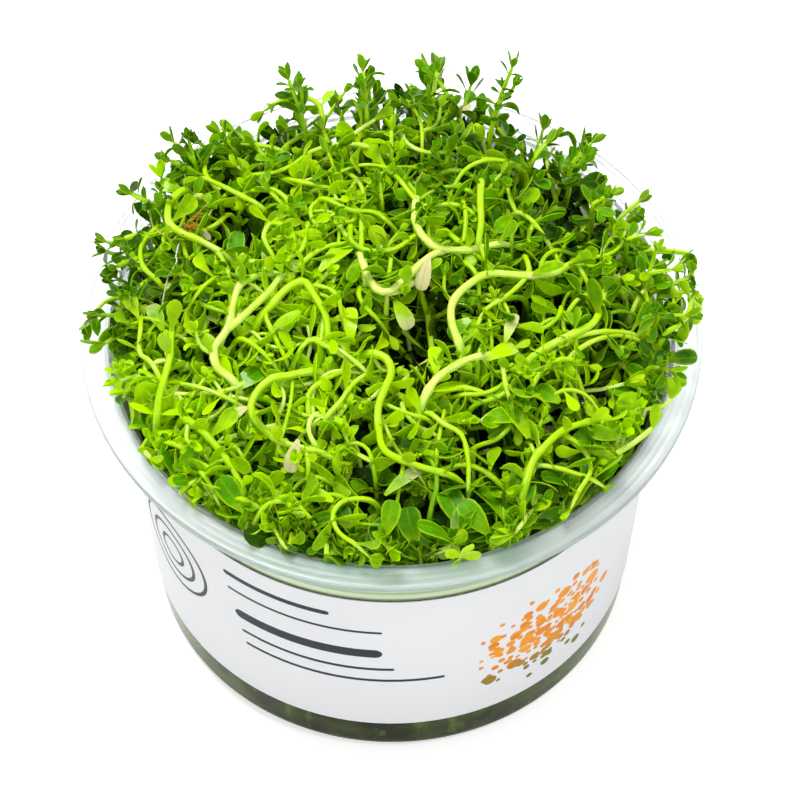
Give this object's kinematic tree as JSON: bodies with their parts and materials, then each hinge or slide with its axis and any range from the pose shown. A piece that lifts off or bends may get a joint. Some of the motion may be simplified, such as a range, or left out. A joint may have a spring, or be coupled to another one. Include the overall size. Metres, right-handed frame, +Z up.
{
  "type": "rotala in a culture pot",
  "caption": "Small-leaved aquarium stem plant growing as a dense mound out of a clear, wide-flanged, tapered plastic culture cup with a plain wrap-round label.",
  "frame": {"origin": "middle of the cup's flat base, on the surface that it stands on", "axes": "+Z up out of the cup's mouth; the front of the pot, as pictured, faces -Y; +X to its right"},
  "size_m": [0.101, 0.101, 0.0931],
  "materials": {
    "clear_plastic": "clear, slightly milky moulded plastic",
    "label_film": "smooth printed label film",
    "nutrient_gel": "wet, dark olive set gel",
    "dense_shoots": "living leaf, semi-gloss",
    "leafy_sprigs": "living leaf, semi-gloss",
    "pale_stems": "smooth juicy stem, semi-gloss"
  },
  "bodies": {
    "root": {"cup": "clear_plastic", "label": "label_film", "nutrient_gel": "nutrient_gel", "tuft_01": "dense_shoots", "tuft_02": "dense_shoots", "tuft_03": "dense_shoots", "tuft_04": "dense_shoots", "tuft_05": "dense_shoots", "tuft_06": "dense_shoots", "tuft_07": "dense_shoots", "tuft_08": "dense_shoots", "tuft_09": "dense_shoots", "tuft_10": "dense_shoots", "tuft_11": "dense_shoots", "tuft_12": "dense_shoots", "tuft_13": "dense_shoots", "sprig_01": "leafy_sprigs", "sprig_02": "leafy_sprigs", "sprig_03": "leafy_sprigs", "sprig_04": "leafy_sprigs", "sprig_05": "leafy_sprigs", "sprig_06": "leafy_sprigs", "sprig_07": "leafy_sprigs", "sprig_08": "leafy_sprigs", "sprig_09": "leafy_sprigs", "sprig_10": "leafy_sprigs", "sprig_11": "leafy_sprigs", "sprig_12": "leafy_sprigs", "sprig_13": "leafy_sprigs", "sprig_14": "leafy_sprigs", "sprig_15": "leafy_sprigs", "sprig_16": "leafy_sprigs", "sprig_17": "leafy_sprigs", "sprig_18": "leafy_sprigs", "sprig_19": "leafy_sprigs", "sprig_20": "leafy_sprigs", "sprig_21": "leafy_sprigs", "sprig_22": "leafy_sprigs", "sprig_23": "leafy_sprigs", "sprig_24": "leafy_sprigs", "sprig_25": "leafy_sprigs", "sprig_26": "leafy_sprigs", "sprig_27": "leafy_sprigs", "sprig_28": "leafy_sprigs", "runner_01": "pale_stems", "runner_02": "pale_stems", "runner_03": "pale_stems", "runner_04": "pale_stems", "runner_05": "pale_stems", "runner_06": "pale_stems", "runner_07": "pale_stems", "runner_08": "pale_stems", "runner_09": "pale_stems", "runner_10": "pale_stems", "runner_11": "pale_stems", "runner_12": "pale_stems", "runner_13": "pale_stems"}
  },
  "joints": []
}
